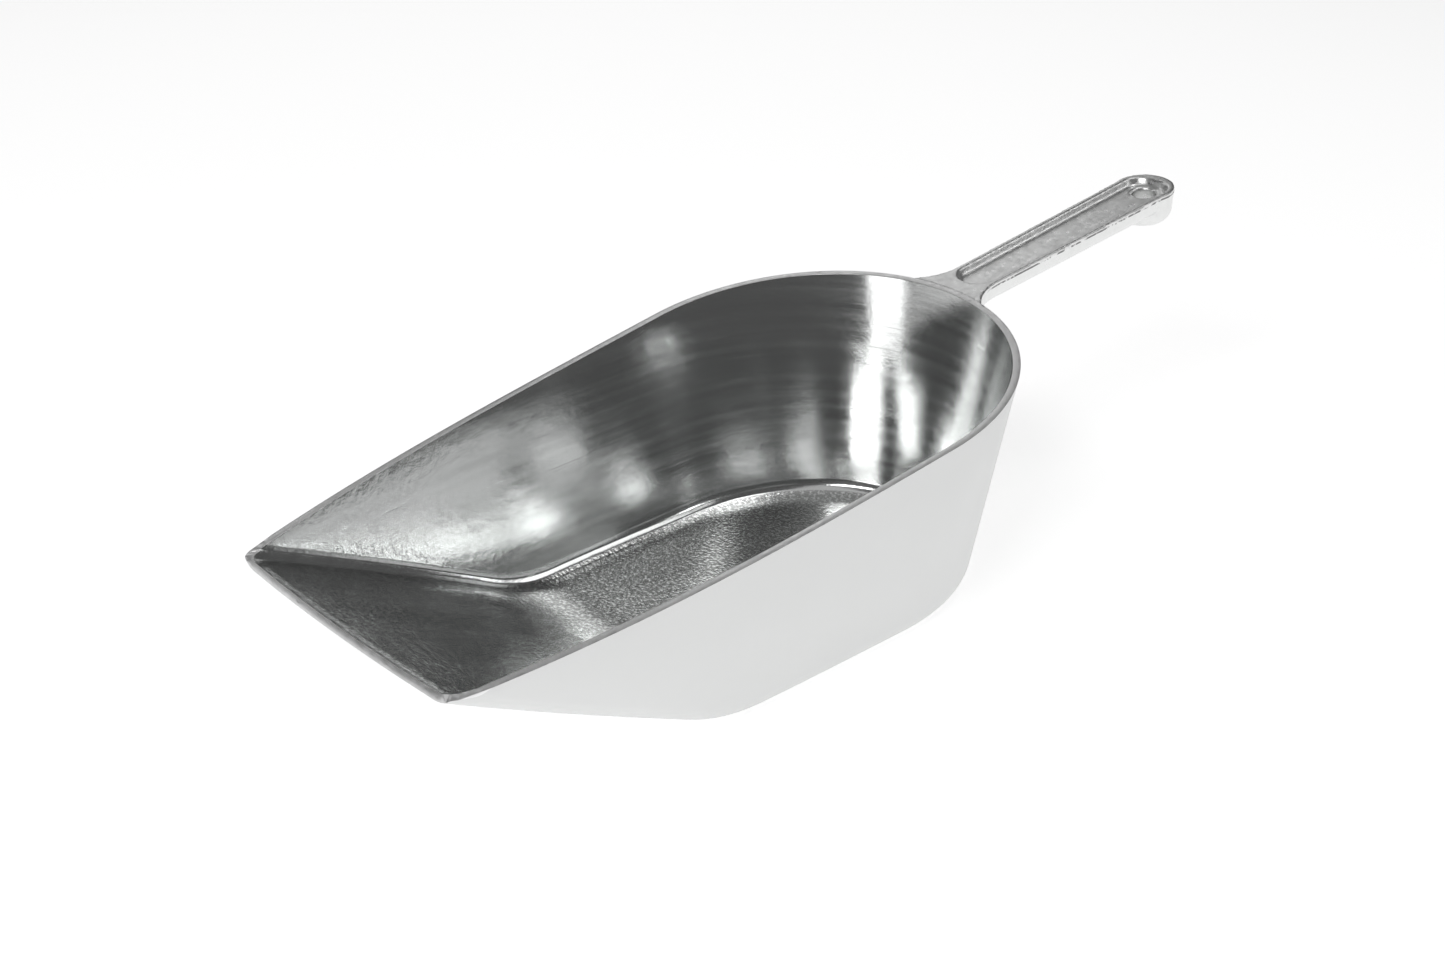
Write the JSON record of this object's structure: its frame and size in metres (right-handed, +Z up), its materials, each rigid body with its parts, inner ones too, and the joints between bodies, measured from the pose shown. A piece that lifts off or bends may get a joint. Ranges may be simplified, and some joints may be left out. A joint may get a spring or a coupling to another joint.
{
  "type": "ice scoop",
  "caption": "Flat-bottomed cast aluminium ice scoop: deep round-backed bowl, ramp rising to a wide, slightly bowed lip, and a channelled handle ending in a pierced knob.",
  "frame": {"origin": "centre of the flat face that the scoop rests on", "axes": "+Z up from the resting face, +Y along the scoop towards the handle, so the mouth faces -Y, and X across"},
  "size_m": [0.1368, 0.3569, 0.095],
  "materials": {
    "bowl_cast_aluminium": "satin cast outside, buffed and polished inside",
    "handle_cast_aluminium": "as cast, tumbled, with polished top lands"
  },
  "bodies": {
    "root": {"bowl": "bowl_cast_aluminium", "handle": "handle_cast_aluminium"}
  },
  "joints": []
}
